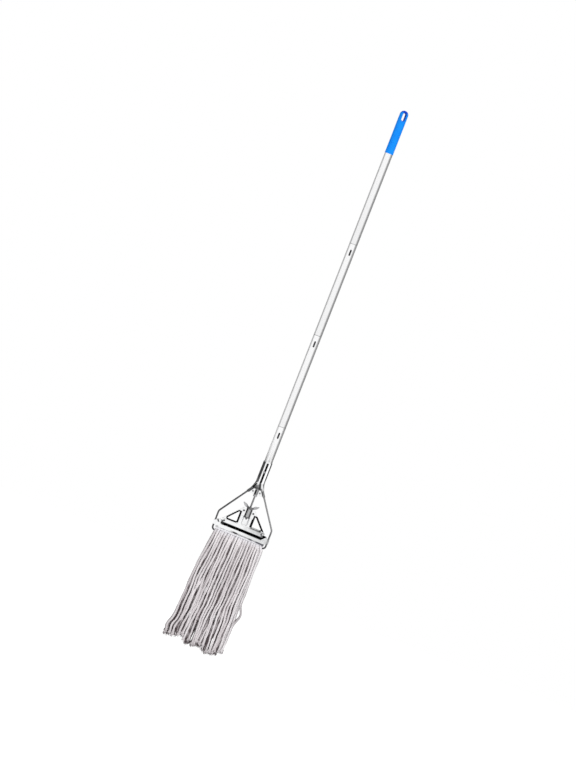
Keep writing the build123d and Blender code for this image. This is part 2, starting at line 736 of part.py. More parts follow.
def strand(layer, index, side):
    """One four-sided strand: it leaves the fold, spreads out, waves a little and flares to its end."""
    place = (index + 0.5 * (layer % 2) + 0.25) / STRANDS_PER_LAYER - 0.5
    shift = sum(step * count for step, count in zip(UNEVEN_PHASE_STEPS, (index, layer, side)))
    length = FRINGE_LENGTH + FRINGE_UNEVEN * math.sin(shift)
    phase = STRAND_PHASE_STEP * index + LAYER_PHASE_STEP * layer
    inner = wire_radius + SOFT_GAP
    sections = []
    for z in strand_levels(length):
        drop = max(0.0, (bar_level - z) / FRINGE_LENGTH)
        spread = min(1.0, max(0.0, (bar_level - FOLD_DROP - z) / SPREAD_DROP))
        pitch = LAYER_PITCH_AT_BAR + (LAYER_PITCH_BELOW - LAYER_PITCH_AT_BAR) * spread
        thickness = pitch - SOFT_GAP
        wave = STRAND_WAVE * spread * math.sin(2 * math.pi * z / STRAND_WAVE_LENGTH + phase)
        x = place * (BAND_WIDTH - STRAND_WIDTH) * (1 + FRINGE_FLARE * drop**FRINGE_FLARE_POWER)
        x += wave - FRINGE_SWEEP * drop**FRINGE_SWEEP_POWER
        y = side * (inner * (1 - spread) + pitch * (layer + 0.5) + SOFT_GAP * spread)
        sections.append(Pos(x, y, z) * Rectangle(STRAND_WIDTH, thickness))
    return loft(sections, ruled=True)


def yarn(side):
    """Half of the refill's yarn: the stitched fold beside the bar, and its hanging strands."""
    half = trough_half_depth - 2 * SOFT_GAP - BAND_TAPE
    fold = tent(half, bar_level - FOLD_DROP, 2 * SOFT_GAP + BAND_TAPE)
    fold &= Pos(side * half / 2, bar_level) * Rectangle(half - SOFT_GAP, BAR_DROP)
    pad = extrude(Plane.YZ * fold, BAND_WIDTH / 2 - SOFT_GAP, both=True)
    bar = Pos(0, 0, bar_level) * Rot(0, 90, 0) * Cylinder(wire_radius + SOFT_GAP, BAND_WIDTH)
    strands = []
    for layer in range(LAYER_COUNT):
        for index in range(STRANDS_PER_LAYER):
            strands.append(strand(layer, index, side))
    return (pad - bar).fuse(*strands)


pieces = {
    "hand_grip": hand_grip(),
    "upper_tube": pole_tube(0),
    "second_tube": pole_tube(1),
    "third_tube": pole_tube(2),
    "lower_tube": pole_tube(3),
    "plug_rivets": plug_rivets(),
    "socket_yoke": socket_yoke(),
    "socket_screws": socket_screws(),
    "yoke_rivets": yoke_rivets(),
    "wire_bail": wire_bail(),
    "threaded_rod": threaded_rod(),
    "rod_top_nut": hex_nut(cavity_floor),
    "rod_lock_nut": hex_nut(boss_end - HEX_HEIGHT),
    "wing_nut": wing_nut(),
    "thrust_washer": thrust_washer(),
    "retaining_ring": retaining_ring(),
    "nut_strap": nut_strap(),
    "strap_rivets": strap_rivets(),
    "jaw_plate": jaw_plate(),
    "front_jaw": front_jaw(),
    "rear_jaw": mirror(front_jaw(), about=Plane.XZ),
    "jaw_rivets": jaw_rivets(),
    "headband": headband(),
    "yarn_front": yarn(-1),
    "yarn_back": yarn(1),
}
for joint in range(1, len(tube_levels)):
    pieces[f"joint_plug_{joint}"] = joint_plug(joint)
    pieces[f"snap_button_{joint}"] = snap_button(joint)
    pieces[f"button_spring_{joint}"] = button_spring(joint)

os.makedirs("parts", exist_ok=True)
for node, shape in pieces.items():
    export_step(shape, f"parts/{node}.step")
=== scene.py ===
"""Cotton string mop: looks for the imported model, in metres.

The origin is the middle of the grip's hang slot, Z runs up the pole and -Y is the front.
"""

import math

import bmesh
import bpy
import numpy as np
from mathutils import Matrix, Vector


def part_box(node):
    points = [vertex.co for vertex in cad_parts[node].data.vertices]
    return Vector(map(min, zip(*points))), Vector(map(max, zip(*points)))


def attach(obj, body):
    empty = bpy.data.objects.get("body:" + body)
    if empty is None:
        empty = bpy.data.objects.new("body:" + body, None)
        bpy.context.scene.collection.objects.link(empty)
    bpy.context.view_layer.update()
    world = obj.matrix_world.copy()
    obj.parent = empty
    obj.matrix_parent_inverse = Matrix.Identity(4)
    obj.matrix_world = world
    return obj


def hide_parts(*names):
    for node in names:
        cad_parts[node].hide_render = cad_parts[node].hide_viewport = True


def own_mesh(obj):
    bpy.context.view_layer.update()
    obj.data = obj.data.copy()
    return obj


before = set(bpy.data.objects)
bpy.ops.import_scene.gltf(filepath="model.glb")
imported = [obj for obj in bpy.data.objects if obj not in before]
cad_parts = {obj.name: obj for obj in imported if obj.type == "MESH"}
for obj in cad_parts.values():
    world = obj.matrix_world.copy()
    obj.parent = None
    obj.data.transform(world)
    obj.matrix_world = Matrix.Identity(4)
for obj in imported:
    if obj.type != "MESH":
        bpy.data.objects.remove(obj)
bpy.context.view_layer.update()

# Studio: the mop hangs in front of a white sweep, above a pale floor, under an even sky, a large
# soft lamp at the front right and a weaker one behind. Flags stand round it, as they do when bright
# metal is photographed: reflections alone see them, and they neither light nor shade anything.
LEAN = math.radians(21.36)
LENS = 150.0
SENSOR = 36.0
VIEW_HEIGHT = 2.219
VIEW_END = 100.0
AIM = (-0.0290, 0.0, -0.8393)
SKY = 0.40
KEY_STRENGTH = 2.0
KEY_TURN = math.radians(14)
FILL_STRENGTH = 1.2
FILL_TURN = math.radians(180)
LAMP_TILT = math.radians(58)
LAMP_SIZE = math.radians(50)
FLOOR_LEVEL = -2.3
FLOOR_HALF = 14.0
FLOOR_TONE = 0.86
FLOOR_GLOW = 0.34
FLOOR_CARD_REACH = (0.5, 7.0)
FLOOR_CARD_LEVELS = (FLOOR_LEVEL + 0.02, FLOOR_LEVEL + 0.02)
CARD_COLUMNS = 40


class Socket:
    """One output of a shader node; sums, differences and products of it add Math nodes."""

    def __init__(self, tree, output=None):
        self.tree = tree
        self.output = output

    def node(self, kind, settings, inputs, output=0):
        """Adds a node of a type: first its settings, then the values or links of its sockets."""
        made = self.tree.nodes.new("ShaderNode" + kind)
        for name, value in settings.items():
            setattr(made, name, value)
        for name, value in inputs.items():
            if isinstance(value, Socket):
                self.tree.links.new(value.output, made.inputs[name])
            else:
                made.inputs[name].default_value = value
        return Socket(self.tree, made.outputs[output] if made.outputs else None)

    def math(self, operation, *values):
        """A Math node on these values, with its result kept from 0 to 1 by CLAMP in the name."""
        settings = {"operation": operation.removesuffix("_CLAMP")}
        settings["use_clamp"] = operation.endswith("_CLAMP")
        return self.node("Math", settings, dict(enumerate(values)))

    def __add__(self, other):
        return self.math("ADD", self, other)

    __radd__ = __add__

    def __sub__(self, other):
        return self.math("SUBTRACT", self, other)

    def __rsub__(self, other):
        return self.math("SUBTRACT", other, self)

    def __mul__(self, other):
        return self.math("MULTIPLY", self, other)

    __rmul__ = __mul__

    def __pow__(self, other):
        return self.math("POWER", self, other)

    def __abs__(self):
        return self.math("ABSOLUTE", self)

    def most(self, *others):
        """The greatest of this value and the others."""
        greatest = self
        for other in others:
            greatest = self.math("MAXIMUM", greatest, other)
        return greatest

    def ramp(self, start, stop):
        """0 at start, 1 at stop, even between them and steady beyond; start may be the greater."""
        return self.node("MapRange", {}, {"Value": self, "From Min": start, "From Max": stop})

    def within(self, middle, solid, clear):
        """1 up to solid away from the middle, 0 from clear on, and even between them."""
        return abs(self - middle).ramp(clear, solid)

    def tint(self, first, second):
        """Colour that goes from first to second as this value goes from 0 to 1."""
        return self.node("Mix", {"data_type": "RGBA"}, {0: self, 6: first, 7: second}, 2)


def rgb(red, green, blue):
    """Colour with full alpha."""
    return (red, green, blue, 1.0)


def empty_tree(owner):
    """Clears the shader of a world or a material, and gives the start of a new one."""
    owner.use_nodes = True
    owner.node_tree.nodes.clear()
    return Socket(owner.node_tree)


def seen_directly(start):
    """1 for camera, mirror and glass rays, which see the white surroundings, and 0 for the light."""
    kinds = ("Camera", "Glossy", "Transmission")
    rays = [start.node("LightPath", {}, {}, f"Is {kind} Ray") for kind in kinds]
    return rays[0].math("ADD_CLAMP", rays[0] + rays[1], rays[2])


eye = bpy.data.cameras.new("eye")
eye.lens = LENS
eye.sensor_width = SENSOR
eye.clip_end = VIEW_END
camera = bpy.data.objects.new("eye", eye)
bpy.context.scene.collection.objects.link(camera)
bpy.context.scene.camera = camera
camera.location = (AIM[0], AIM[1] - VIEW_HEIGHT * LENS / SENSOR, AIM[2])
camera.rotation_euler = (math.radians(90), -LEAN, 0.0)

sky = bpy.data.worlds.new("sky")
bpy.context.scene.world = sky
start = empty_tree(sky)
strength = SKY + (1.0 - SKY) * seen_directly(start)
background = start.node("Background", {}, {"Color": rgb(1, 1, 1), "Strength": strength})
start.node("OutputWorld", {}, {"Surface": background})

bpy.context.scene.view_settings.view_transform = "Standard"

for name, energy, turn in (("key", KEY_STRENGTH, KEY_TURN), ("fill", FILL_STRENGTH, FILL_TURN)):
    lamp = bpy.data.lights.new(name, "SUN")
    lamp.energy = energy
    lamp.angle = LAMP_SIZE
    soft = bpy.data.objects.new(name, lamp)
    soft.rotation_euler = (LAMP_TILT, 0.0, turn)
    soft.visible_glossy = False
    bpy.context.scene.collection.objects.link(soft)


def grid_mesh(name, points):
    """Open mesh of a grid: points[row, column] joined to the next row and the next column."""
    rows, columns, _ = points.shape
    ids = np.arange(rows * columns).reshape(rows, columns)
    quads = np.stack([ids[:-1, :-1], ids[:-1, 1:], ids[1:, 1:], ids[1:, :-1]], axis=-1)
    mesh = bpy.data.meshes.new(name)
    mesh.from_pydata(points.reshape(-1, 3).tolist(), [], quads.reshape(-1, 4).tolist())
    made = bpy.data.objects.new(name, mesh)
    bpy.context.scene.collection.objects.link(made)
    return made


def flat_card(middle, half):
    """Flat card square to the axis in which its half size is 0: the middle plus and minus half."""
    signs = np.stack(np.meshgrid([-1, 1], [-1, 1]), axis=-1)
    wide = np.flatnonzero(half)
    points = np.tile(np.array(middle, float), (2, 2, 1))
    points[..., wide] += signs * np.array(half)[wide]
    return points


def round_card(turn, reach, levels):
    """Card round the pole's axis: x = r sin a, y = -r cos a over a range of turns a, in degrees.

    Its two edges have the two distances r of reach and the two heights of levels.
    """
    a = np.radians(np.linspace(*turn, CARD_COLUMNS))[None, :]
    r = np.array(reach)[:, None]
    z = np.array(levels)[:, None] + 0 * a
    return np.stack([r * np.sin(a), -r * np.cos(a), z], axis=-1)


floor_material = bpy.data.materials.new("floor")
start = empty_tree(floor_material)
matt = start.node("BsdfDiffuse", {}, {"Color": rgb(FLOOR_TONE, FLOOR_TONE, FLOOR_TONE)})
glow = start.node("Emission", {}, {"Strength": FLOOR_GLOW * seen_directly(start)})
start.node("OutputMaterial", {}, {"Surface": start.node("AddShader", {}, {0: matt, 1: glow})})
floor = grid_mesh("floor", flat_card((0.0, 0.0, FLOOR_LEVEL), (FLOOR_HALF, FLOOR_HALF, 0.0)))
floor.data.materials.append(floor_material)


def flag(name, tone, points):
    """Card of one grey tone that only reflections see."""
    card = grid_mesh(name, points)
    material = bpy.data.materials.new(name)
    begin = empty_tree(material)
    material.cycles.emission_sampling = "NONE"
    plain = begin.node("Emission", {}, {"Color": rgb(tone, tone, tone)})
    begin.node("OutputMaterial", {}, {"Surface": plain})
    card.data.materials.append(material)
    card.visible_camera = False
    card.visible_diffuse = False
    card.visible_transmission = False
    card.visible_shadow = False


for name, tone, turn, reach, levels in (
    ("pole_flag_near_right", 0.48, (57, 84), (2.5, 2.5), (-1.75, 0.9)),
    ("pole_flag_far_right", 0.28, (84, 150), (2.5, 2.5), (-1.75, 0.9)),
    ("pole_flag_left", 0.45, (-150, -84), (2.5, 2.5), (-1.13, 0.9)),
    ("socket_flag_left", 0.05, (-150, -48), (0.4, 0.4), (-1.134, -1.08)),
    ("socket_flag_front", 0.01, (-14, 36), (0.16, 0.16), (-1.142, -1.078)),
    ("socket_flag_pale", 1.2, (46, 88), (0.3, 0.3), (-1.17, -1.08)),
    ("socket_flag_right", 0.06, (90, 150), (0.4, 0.4), (-1.134, -1.08)),
    ("bell_flag_left", 0.12, (-150, -48), (0.4, 0.4), (-1.17, -1.134)),
    ("floor_flag_right", 0.38, (57, 150), FLOOR_CARD_REACH, FLOOR_CARD_LEVELS),
    ("floor_flag_left", 0.45, (-150, -84), FLOOR_CARD_REACH, FLOOR_CARD_LEVELS),
):
    flag(name, tone, round_card(turn, reach, levels))
for name, tone, middle, half in (
    ("plate_flag", 0.7, (0.06, -2.45, -1.386), (0.04, 0.0, 0.014)),
    ("ear_flag", 0.66, (0.108, -2.45, -1.4125), (0.0175, 0.0, 0.0175)),
    ("clamp_flag_left", 0.03, (-0.11, 0.0, -1.21), (0.0, 0.6, 0.055)),
    ("clamp_flag_right", 0.9, (0.11, 0.0, -1.2875), (0.0, 0.6, 0.1325)),
    ("low_flag_front", 0.35, (0.0, -0.5, -1.4675), (0.6, 0.0, 0.1325)),
    ("low_flag_back", 0.35, (0.0, 0.5, -1.4675), (0.6, 0.0, 0.1325)),
    ("floor_flag_front", 0.25, (0.0, -0.5, -1.9325), (0.6, 0.0, 0.3325)),
    ("floor_flag_back", 0.25, (0.0, 0.5, -1.9325), (0.6, 0.0, 0.3325)),
    ("top_flag", 0.0, (-0.95, 0.0, 1.25), (1.25, 2.2, 0.0)),
):
    flag(name, tone, flat_card(middle, half))


# Hand grip: one blue plastic moulding with fine ring grooves and a dished hang slot, its hollow
# spigot pushed into the upper tube. The moulding has a fine spark-eroded grain and a parting line
# down each side, and shade is painted into the dish of the slot as a darker blue.
GRIP_SKIN = 0.0121
DISH_FLOOR = 0.0105


def finish(name, constants, varied):
    """Material with one Principled surface: constants on its sockets, and varied(place) for the links.

    place is the Object coordinates, and varied returns socket names with what feeds them.
    """
    material = bpy.data.materials.new(name)
    place = empty_tree(material).node("TexCoord", {}, {}, "Object")
    surface = place.node("BsdfPrincipled", {}, {**constants, **varied(place)})
    place.node("OutputMaterial", {}, {"Surface": surface})
    return material


def dress(material, *nodes):
    """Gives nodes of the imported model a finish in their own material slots."""
    for node in nodes:
        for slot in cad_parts[node].material_slots:
            slot.material = material


def axes(place):
    """The three coordinates of a place."""
    return [place.node("SeparateXYZ", {}, {"Vector": place}, axis) for axis in "XYZ"]


def from_axis(place):
    """Distance from the pole's axis."""
    x, y, _ = axes(place)
    return (x * x + y * y) ** 0.5


def noise(place, scale, detail=3.0, stretch=(1.0, 1.0, 1.0)):
    """Cloudy value from 0 to 1; scale is in grains per metre, and stretch below 1 draws them out."""
    moved = place.node("Mapping", {}, {"Vector": place, "Scale": stretch})
    return place.node("TexNoise", {}, {"Vector": moved, "Scale": scale, "Detail": detail})


def bump(place, height, depth, rounding=0.0):
    """Normal of a surface raised by height times depth; rounding softens the edges by that radius."""
    inputs = {"Height": height, "Distance": depth, "Strength": 1.0}
    if rounding:
        inputs["Normal"] = place.node("Bevel", {"samples": 6}, {"Radius": rounding})
    return place.node("Bump", {}, inputs)


def blue_plastic(place):
    """Azure moulding: cloudy colour, fine grain, a parting line where y is 0, and painted shade in the
    dish.
    """
    cloud = noise(place, 60.0)
    grain = noise(place, 1800.0, 2.0)
    _, y, _ = axes(place)
    line = abs(y).ramp(0.0004, 0.0001)
    # Painted shade: the slot's dish and inner walls are coloured a darker blue.
    dish_shade = from_axis(place).ramp(GRIP_SKIN, DISH_FLOOR)
    azure = cloud.ramp(0.3, 0.7).tint(rgb(0.011, 0.260, 0.93), rgb(0.015, 0.305, 0.99))
    return {
        "Base Color": dish_shade.tint(azure, rgb(0.012, 0.066, 0.60)),
        "Roughness": 0.40 + 0.14 * grain,
        "Normal": bump(place, grain + 1.5 * line, 0.00006, 0.0005),
    }


dress(finish("grip_blue", {"Specular IOR Level": 0.02}, blue_plastic), "hand_grip")


# Pole tubes: four sections of drawn aluminium tube with a satin anodised skin. Drawing leaves fine
# lines along each tube, and each is coloured a little darker towards its lower end, above the next
# button.
def satin_aluminium(end, top):
    """Draw lines along Z, a soft cloudiness, and a darker tone from the top level to the end level."""

    def varied(place):
        lines = noise(place, 1500.0, 2.0, (1.0, 1.0, 0.008))
        cloud = noise(place, 25.0)
        # The tone darkens from the tube's top to its lower end.
        darkening = axes(place)[2].ramp(top, end)
        tone = 0.75 * darkening + 0.25 * cloud
        return {
            "Base Color": tone.tint(rgb(0.97, 0.97, 0.975), rgb(0.87, 0.87, 0.875)),
            "Roughness": 0.21 + 0.03 * lines + 0.03 * cloud,
            "Normal": bump(place, lines, 0.0000015, 0.0003),
        }

    return varied


for tube in ("upper_tube", "second_tube", "third_tube", "lower_tube"):
    low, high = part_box(tube)
    dress(finish(f"satin_{tube}", {"Metallic": 1.0}, satin_aluminium(low[2], high[2])), tube)


# Joints of the pole: a dark grey plastic plug riveted in each upper tube, with a dark lock button on a
# hairpin spring that snaps out through the lower tube's window. Only the plug's thin collar, the
# button and the flush rivet show from outside.
MERGE_GAP = 1e-6


def moulded(dark, pale, rough):
    """Plain moulded plastic between two colours, with a fine grain."""

    def varied(place):
        grain = noise(place, 2200.0, 2.0)
        cloud = noise(place, 120.0)
        return {
            "Base Color": cloud.ramp(0.3, 0.7).tint(dark, pale),
            "Roughness": rough + 0.12 * grain,
            "Normal": bump(place, grain, 0.00005, 0.0003),
        }

    return varied


def steel_wear(place):
    """Cloudiness of plated steel, and its fine random scratches."""
    return noise(place, 220.0, 4.0), noise(place, 1600.0, 3.0, (1.0, 0.15, 0.4))


def plated_steel(dark, pale, rough, rounding):
    """Plated steel: cloudy tone, fine random scratches, and softened edges."""

    def varied(place):
        cloud, scratch = steel_wear(place)
        return {
            "Base Color": cloud.ramp(0.3, 0.7).tint(dark, pale),
            "Roughness": rough + 0.12 * cloud + 0.06 * scratch,
            "Normal": bump(place, scratch, 0.000008, rounding),
        }

    return varied


def merge(piece, smooth):
    """Joins the points of a closed surface that fall together, and turns its faces outwards."""
    bm = bmesh.new()
    bm.from_mesh(piece.data)
    bmesh.ops.remove_doubles(bm, verts=bm.verts, dist=MERGE_GAP)
    bmesh.ops.dissolve_degenerate(bm, dist=MERGE_GAP, edges=bm.edges)
    bmesh.ops.recalc_face_normals(bm, faces=bm.faces)
    bm.to_mesh(piece.data)
    bm.free()
    piece.data.polygons.foreach_set("use_smooth", np.full(len(piece.data.polygons), smooth))


def fit(piece, material):
    """Gives a new piece its finish and its slot, and fixes it to the mop's body."""
    piece.data.materials.append(material)
    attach(piece, "mop_body")


plug_grey = finish("plug_grey", {}, moulded(rgb(0.085, 0.085, 0.09), rgb(0.115, 0.115, 0.12), 0.42))
button_dark = finish("button_dark", {}, moulded(rgb(0.012, 0.012, 0.014), rgb(0.022, 0.022, 0.024), 0.4))
bare_steel = plated_steel(rgb(0.42, 0.42, 0.44), rgb(0.5, 0.5, 0.52), 0.22, 0.0001)
spring_steel = finish("spring_steel", {"Metallic": 1.0}, bare_steel)
dull_zinc = plated_steel(rgb(0.40, 0.40, 0.41), rgb(0.52, 0.52, 0.53), 0.24, 0.0003)
zinc_plate = finish("zinc_plate", {"Metallic": 0.6}, dull_zinc)
dress(zinc_plate, "plug_rivets")
for joint in (1, 2, 3):
    dress(plug_grey, f"joint_plug_{joint}")
    dress(button_dark, f"snap_button_{joint}")
    node = f"button_spring_{joint}"
    mesh = bpy.data.meshes.new_from_object(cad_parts[node])
    leaf = bpy.data.objects.new(f"leaf_spring_{joint}", mesh)
    bpy.context.scene.collection.objects.link(leaf)
    merge(leaf, smooth=False)
    leaf.data.materials.clear()
    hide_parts(node)
    fit(leaf, spring_steel)
    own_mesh(leaf)


# Socket yoke: a steel tube pressed out flat into two wire legs, a screw boss and a thin web, then
# bright plated. Two screws hold the pole in it and two rivets close its web. The bell below the
# pole's end is creased where it was pressed, and dark reflections are painted on the legs and the bell.
POLE_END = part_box("lower_tube")[0][2]
SHOULDER_REACH = 0.082
SHOULDER_LEVEL = -1.252
WIRE_SLOPE = 0.685


def bright_plate(place, painted_dark, matt=0.0):
    """Bright nickel with press waviness, polishing scratches and smudges.

    The second value paints dark reflections and shade on it, black where it is 1, and matt leaves it
    unpolished where it is 1.
    """
    wave = noise(place, 40.0, 1.0)
    smudge = noise(place, 90.0, 5.0)
    scratch = noise(place, 2600.0, 2.0, (1.0, 0.3, 0.06))
    bright = smudge.ramp(0.35, 0.65).tint(rgb(0.90, 0.905, 0.91), rgb(0.95, 0.955, 0.96))
    return {
        "Base Color": painted_dark.tint(bright, rgb(0.012, 0.012, 0.014)),
        "Metallic": 1.0 - 0.85 * matt,
        "Roughness": 0.04 + 0.06 * smudge.ramp(0.45, 0.75) + (0.03 * scratch + 0.5 * matt),
        "Normal": bump(place, 1.2 * wave + 0.04 * scratch, 0.00004, 0.0007),
    }


def yoke_plate(place):
    """Bright plate, painted dark along the crimped legs, the left one more, on the boss and at the rim.

    A painted dark crease runs down the bell's front and turns to the right leg, with a pale, unpolished
    strip beside it, and the bell's left side is painted dark. fall is the distance below the pole's end,
    and aside the distance from the wire's line.
    """
    x, _, z = axes(place)
    fall = POLE_END - z
    aside = abs(abs(x) - (SHOULDER_REACH - (z - SHOULDER_LEVEL) * WIRE_SLOPE))
    right = x.ramp(-0.004, 0.004)
    # Painted dark reflections and shade: on the legs, the boss, the rim, the crease and the bell's left.
    leg = aside.ramp(0.0062, 0.0050) * (fall - 0.002 * right).ramp(0.0095, 0.0185)
    leg = leg * (0.9 - 0.22 * fall.ramp(0.0245, 0.0165) - 0.3 * right)
    boss = abs(x).ramp(0.0062, 0.0052) * fall.ramp(0.0125, 0.0185)
    rim = fall.ramp(0.0150, 0.0167) * fall.ramp(0.0230, 0.0215) * x.ramp(0.014, 0.011)
    rim = rim * (0.52 + 0.32 * abs(x + 0.0015).ramp(0.002, 0.006))
    bell = fall.ramp(-0.001, 0.0)
    crease = (x - 0.3 * fall).within(0.0008, 0.0019, 0.0036) * fall.ramp(0.0195, 0.0175) * bell
    strip = x.within(-0.0046, 0.0018, 0.0036) * fall.ramp(0.0100, 0.0070) * bell
    side = x.ramp(-0.0085, -0.0115) * fall.ramp(0.0125, 0.0105) * bell
    return bright_plate(place, leg.most(0.66 * boss, rim, 0.92 * crease, 0.55 * side), strip)


dress(finish("yoke_nickel", {}, yoke_plate), "socket_yoke")
dress(zinc_plate, "socket_screws", "yoke_rivets")


# Wire bail: one length of plated steel wire, bent from leg to leg, that carries the yarn on its
# lower bar and guides the jaw on its upright sides. Its ends are held in the yoke's legs.
def drawn_wire(place):
    """Dull plated wire: draw scratches, cloudy tone, painted shade on its left side and lower down, and
    a darker lower end.
    """
    cloud, scratch = steel_wear(place)
    x, _, z = axes(place)
    rise = z - SHOULDER_LEVEL
    # Painted shade: the wire is coloured darker on its left side and lower down, and darkest at its
    # lower end.
    side = x.ramp(-0.03, 0.03) * (0.4 + 0.6 * rise.ramp(-0.010, 0.006))
    unshaded = (0.8 * side + 0.2 * cloud.ramp(0.3, 0.7)) * rise.ramp(-0.048, -0.040)
    return {
        "Base Color": unshaded.tint(rgb(0.11, 0.11, 0.115), rgb(0.38, 0.38, 0.385)),
        "Roughness": 0.28 + 0.12 * cloud + 0.06 * scratch,
        "Normal": bump(place, scratch, 0.000008),
    }


dress(finish("drawn_wire", {"Metallic": 0.7}, drawn_wire), "wire_bail")


# Clamp screw: a fixed zinc-plated rod with a rolled right-hand thread of 1 mm pitch, between a nut
# inside the socket and a lock nut under the boss. Oil and dirt stay dark in the thread's roots.
ROD_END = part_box("threaded_rod")[0][2]
ROD_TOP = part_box("threaded_rod")[1][2]
ROD_CREST = 0.00296
ROD_ROOT = 0.00242
ROD_CHAMFER = 0.0008
THREAD_PITCH = 0.001
THREAD_STEEP = 1.4
THREAD_FLAT = 0.15
PITCH_STEPS = 8
ROD_COLUMNS = 28


def thread_surface():
    """Right-hand thread: radius is a flattened saw wave of z / pitch - angle / turn.

    The rows climb with the angle, so they follow the helix, and a whole turn meets the rows one
    pitch higher. Both ends are cut square, chamfered and closed on the axis.
    """
    turns = math.ceil((ROD_TOP - ROD_END) / THREAD_PITCH)
    step = np.arange(-PITCH_STEPS, turns * PITCH_STEPS + 1)[:, None]
    angle = np.linspace(0, 2 * np.pi, ROD_COLUMNS + 1)[None, :]
    z = ROD_END + THREAD_PITCH * (step / PITCH_STEPS + angle / (2 * np.pi))
    saw = np.abs((step / PITCH_STEPS) % 1.0 - 0.5) * 2
    crest = np.clip(THREAD_STEEP * saw - THREAD_FLAT, 0, 1) * np.ones_like(angle)
    radius = ROD_ROOT + (ROD_CREST - ROD_ROOT) * crest
    z = np.clip(z, ROD_END, ROD_TOP)
    inside = np.minimum(z - ROD_END, ROD_TOP - z)
    radius = np.minimum(radius, ROD_CREST - ROD_CHAMFER + inside)
    angle = angle * np.ones_like(radius)
    body = np.stack([radius * np.cos(angle), radius * np.sin(angle), z], axis=-1)
    low = np.zeros_like(body[:1]) + (0, 0, ROD_END)
    high = np.zeros_like(body[:1]) + (0, 0, ROD_TOP)
    return np.concatenate([low, body, high])


def oiled_thread(place):
    """Zinc on the crests, dark oil in the roots, by the distance from the screw's axis."""
    height = from_axis(place).ramp(ROD_ROOT, ROD_CREST)
    cloud = noise(place, 300.0, 4.0)
    wear = height * (0.7 + 0.5 * cloud)
    return {
        "Base Color": wear.tint(rgb(0.10, 0.098, 0.095), rgb(0.66, 0.66, 0.67)),
        "Roughness": 0.38 - 0.14 * height + 0.1 * cloud,
    }


thread = grid_mesh("clamp_screw_thread", thread_surface())
merge(thread, smooth=True)
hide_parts("threaded_rod")
fit(thread, finish("oiled_thread", {"Metallic": 0.55}, oiled_thread))
dress(zinc_plate, "rod_top_nut", "rod_lock_nut")


# Wing nut: a zinc casting with two leaf wings and a long barrel, turning in a sleeve on the jaw.
# A washer bears its thrust, and an open spring ring below the sleeve keeps it in.
HUB_SKIN = 0.0092
WING_LIGHT_RADIUS = 0.0125


def cast_zinc(place):
    """Satin casting: fine cast grain, lighter out on the wings and darker round the screw."""
    grain = noise(place, 900.0, 4.0)
    cloud = noise(place, 150.0)
    toward_wings = from_axis(place).ramp(HUB_SKIN, WING_LIGHT_RADIUS)
    bright = cloud.ramp(0.3, 0.7).tint(rgb(0.42, 0.42, 0.43), rgb(0.54, 0.54, 0.55))
    return {
        "Base Color": toward_wings.tint(rgb(0.20, 0.20, 0.205), bright),
        "Roughness": 0.30 + 0.16 * grain,
        "Normal": bump(place, grain, 0.00004, 0.0006),
    }


dress(finish("cast_zinc", {"Metallic": 0.6}, cast_zinc), "wing_nut")
# Dark grey plated steel for the thrust washer and the rivets.
dark_steel = plated_steel(rgb(0.09, 0.09, 0.095), rgb(0.15, 0.15, 0.155), 0.3, 0.0003)
dark_grey_steel = finish("dark_grey_steel", {"Metallic": 0.6}, dark_steel)
dress(dark_grey_steel, "thrust_washer")
dress(spring_steel, "retaining_ring")


# Movable jaw: a flat plate with two beaded windows between two pressed jaw halves, riveted together,
# with a strap that closes the nut's sleeve. All of it is bright plated sheet. Dark reflections and shade
# are painted on the beads, the sloping recess and the sleeve; the pocket, the sleeve and the recess's
# left end are unpolished.
SHEET_HALF = 0.0008
STRAP_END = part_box("nut_strap")[0][2]
WINDOW_INNER = 0.0215
WINDOW_LOW = -1.2648
WINDOW_HIGH = -1.2255
WINDOW_SLANT = 0.916
SLANT_SHARE = 1.0 / math.hypot(1.0, WINDOW_SLANT)
JAW_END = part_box("rear_jaw")[0][2]
FACE_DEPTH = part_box("rear_jaw")[1][1]
FLANGE_TOP = 0.0104
SHOULDER_TOP = 0.0173
LIP_TOP = 0.0297
LIP_TILT = 0.016
RECESS_TILT = 0.030
FLANGE_TILT = 0.045


def plate_finish(place):
    """Bright plate: painted dark reflections on the window beads, which stand over the sheet, and along
    three of them.

    The right window's lower bead is left bright, and the pocket's walls are matt. edge is the distance
    outwards from the right window's slanting side.
    """
    x, y, z = axes(place)
    bead = abs(y).ramp(SHEET_HALF + 0.00001, SHEET_HALF + 0.00007) * abs(x).ramp(0.0135, 0.0145)
    unshaded = z.ramp(WINDOW_LOW + 0.0026, WINDOW_LOW + 0.0018)
    unshaded = unshaded * x.ramp(0.0235, 0.0245) * x.ramp(0.0490, 0.0465)
    beside = abs(x + 0.0006).ramp(0.0170, 0.0176) * abs(x).ramp(WINDOW_INNER + 0.0005, WINDOW_INNER)
    height = z.ramp(WINDOW_LOW - 0.0010, WINDOW_LOW) * z.ramp(WINDOW_HIGH - 0.0030, WINDOW_HIGH - 0.0045)
    edge = SLANT_SHARE * (x - (WINDOW_INNER + WINDOW_SLANT * (WINDOW_HIGH - z)))
    slant = edge.ramp(-0.0010, 0.0) * edge.ramp(0.0052, 0.0046)
    # Painted dark reflections on the beads, and beside three of them.
    painted_dark_lines = bead * (1.0 - unshaded) + height * (beside + slant)
    corner = abs(x).ramp(0.0062, 0.0070) * abs(x).ramp(0.0122, 0.0118)
    pocket = corner * z.ramp(STRAP_END + 0.0005, STRAP_END - 0.0002)
    return bright_plate(place, painted_dark_lines.ramp(0.0, 1.0), pocket)


def flange_shadow_line(x, rise):
    """Painted shadow along the flange's lower edge: a line that falls to the right, darker in three
    places.

    rise is the height over that edge.
    """
    line = (rise + FLANGE_TILT * x).within(0.0006, 0.0016, 0.0030)
    amount = 0.40 * x.ramp(-0.031, -0.026) + 0.55 * x.ramp(0.047, 0.053)
    for middle, half, more in ((-0.015, 0.007, 0.55), (0.033, 0.005, 0.50)):
        amount = amount + more * x.within(middle, half - 0.002, half + 0.002)
    return line * amount


